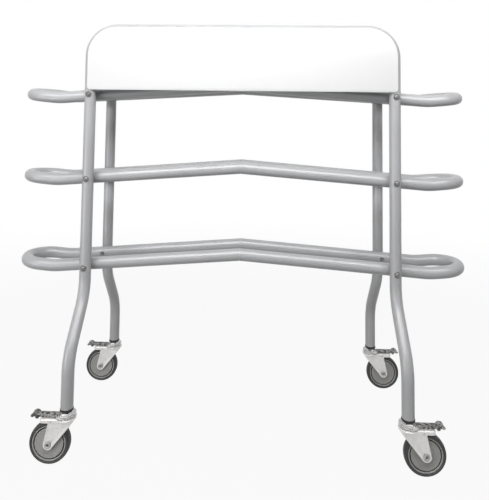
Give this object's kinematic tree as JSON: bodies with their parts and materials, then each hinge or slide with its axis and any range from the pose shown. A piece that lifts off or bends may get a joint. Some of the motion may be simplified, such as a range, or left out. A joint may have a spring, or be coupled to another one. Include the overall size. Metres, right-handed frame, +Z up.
{
  "type": "ball cart",
  "caption": "Rolling ball rack: sloping twin-rail shelves of bent tube between splayed posts, arch with a blank sign panel, total-lock swivel casters.",
  "frame": {"origin": "on the floor under the middle of the cart", "axes": "+X to the right along the shelves, +Y from the sign's front to the back, +Z up"},
  "size_m": [1.5798, 0.532, 1.3854],
  "materials": {
    "powder_coat": "silver-grey gloss powder coat on steel tube",
    "white_panel": "smooth white sheet, satin",
    "zinc": "bright zinc plate on pressed steel",
    "chrome": "bright plate",
    "black_plastic": "moulded black plastic",
    "grey_plastic": "moulded grey plastic",
    "tread": "dark grey rubber tread"
  },
  "bodies": {
    "frame": {"front_post_left": "powder_coat", "front_post_right": "powder_coat", "rear_post_left": "powder_coat", "rear_post_right": "powder_coat", "rear_post_cap_left": "black_plastic", "rear_post_cap_right": "black_plastic", "header_arch": "powder_coat", "sign_panel": "white_panel", "lower_shelf_left": "powder_coat", "lower_shelf_right": "powder_coat", "lower_sleeve_front": "zinc", "lower_sleeve_rear": "zinc", "lower_bolt_front_left": "zinc", "lower_bolt_front_right": "zinc", "lower_bolt_rear_left": "zinc", "lower_bolt_rear_right": "zinc", "middle_shelf_left": "powder_coat", "middle_shelf_right": "powder_coat", "middle_sleeve_front": "zinc", "middle_sleeve_rear": "zinc", "middle_bolt_front_left": "zinc", "middle_bolt_front_right": "zinc", "middle_bolt_rear_left": "zinc", "middle_bolt_rear_right": "zinc", "upper_shelf_left": "powder_coat", "upper_shelf_right": "powder_coat", "upper_sleeve_front": "zinc", "upper_sleeve_rear": "zinc", "upper_bolt_front_left": "zinc", "upper_bolt_front_right": "zinc", "upper_bolt_rear_left": "zinc", "upper_bolt_rear_right": "zinc", "socket_insert_front_left": "black_plastic", "socket_insert_front_right": "black_plastic", "socket_insert_rear_left": "black_plastic", "socket_insert_rear_right": "black_plastic", "caster_stem_front_left": "chrome", "caster_stem_front_right": "chrome", "caster_stem_rear_left": "chrome", "caster_stem_rear_right": "chrome"},
    "caster_front_left": {"caster_fork_front_left": "zinc", "axle_bolt_front_left": "zinc"},
    "wheel_front_left": {"wheel_tyre_front_left": "tread", "wheel_hub_front_left": "grey_plastic"},
    "pedal_front_left": {"brake_pedal_front_left": "zinc"},
    "caster_front_right": {"caster_fork_front_right": "zinc", "axle_bolt_front_right": "zinc"},
    "wheel_front_right": {"wheel_tyre_front_right": "tread", "wheel_hub_front_right": "grey_plastic"},
    "pedal_front_right": {"brake_pedal_front_right": "zinc"},
    "caster_rear_left": {"caster_fork_rear_left": "zinc", "axle_bolt_rear_left": "zinc"},
    "wheel_rear_left": {"wheel_tyre_rear_left": "tread", "wheel_hub_rear_left": "grey_plastic"},
    "pedal_rear_left": {"brake_pedal_rear_left": "zinc"},
    "caster_rear_right": {"caster_fork_rear_right": "zinc", "axle_bolt_rear_right": "zinc"},
    "wheel_rear_right": {"wheel_tyre_rear_right": "tread", "wheel_hub_rear_right": "grey_plastic"},
    "pedal_rear_right": {"brake_pedal_rear_right": "zinc"}
  },
  "joints": [
    {"name": "swivel_front_left", "type": "hinge", "parent": "frame", "child": "caster_front_left", "pos_m": [-0.521, -0.236, 0.138], "axis": [0, 0, 1], "continuous": true},
    {"name": "wheel_spin_front_left", "type": "hinge", "parent": "caster_front_left", "child": "wheel_front_left", "pos_m": [-0.569, -0.236, 0.0625], "axis": [0, 1, 0], "continuous": true},
    {"name": "brake_front_left", "type": "hinge", "parent": "caster_front_left", "child": "pedal_front_left", "pos_m": [-0.562, -0.236, 0.1305], "axis": [0, -1, 0], "range_deg": [-7, 0]},
    {"name": "swivel_front_right", "type": "hinge", "parent": "frame", "child": "caster_front_right", "pos_m": [0.521, -0.236, 0.138], "axis": [0, 0, 1], "continuous": true},
    {"name": "wheel_spin_front_right", "type": "hinge", "parent": "caster_front_right", "child": "wheel_front_right", "pos_m": [0.569, -0.236, 0.0625], "axis": [0, 1, 0], "continuous": true},
    {"name": "brake_front_right", "type": "hinge", "parent": "caster_front_right", "child": "pedal_front_right", "pos_m": [0.562, -0.236, 0.1305], "axis": [0, 1, 0], "range_deg": [-7, 0]},
    {"name": "swivel_rear_left", "type": "hinge", "parent": "frame", "child": "caster_rear_left", "pos_m": [-0.521, 0.236, 0.138], "axis": [0, 0, 1], "continuous": true},
    {"name": "wheel_spin_rear_left", "type": "hinge", "parent": "caster_rear_left", "child": "wheel_rear_left", "pos_m": [-0.569, 0.236, 0.0625], "axis": [0, 1, 0], "continuous": true},
    {"name": "brake_rear_left", "type": "hinge", "parent": "caster_rear_left", "child": "pedal_rear_left", "pos_m": [-0.562, 0.236, 0.1305], "axis": [0, -1, 0], "range_deg": [-7, 0]},
    {"name": "swivel_rear_right", "type": "hinge", "parent": "frame", "child": "caster_rear_right", "pos_m": [0.521, 0.236, 0.138], "axis": [0, 0, 1], "continuous": true},
    {"name": "wheel_spin_rear_right", "type": "hinge", "parent": "caster_rear_right", "child": "wheel_rear_right", "pos_m": [0.569, 0.236, 0.0625], "axis": [0, 1, 0], "continuous": true},
    {"name": "brake_rear_right", "type": "hinge", "parent": "caster_rear_right", "child": "pedal_rear_right", "pos_m": [0.562, 0.236, 0.1305], "axis": [0, 1, 0], "range_deg": [-7, 0]}
  ]
}
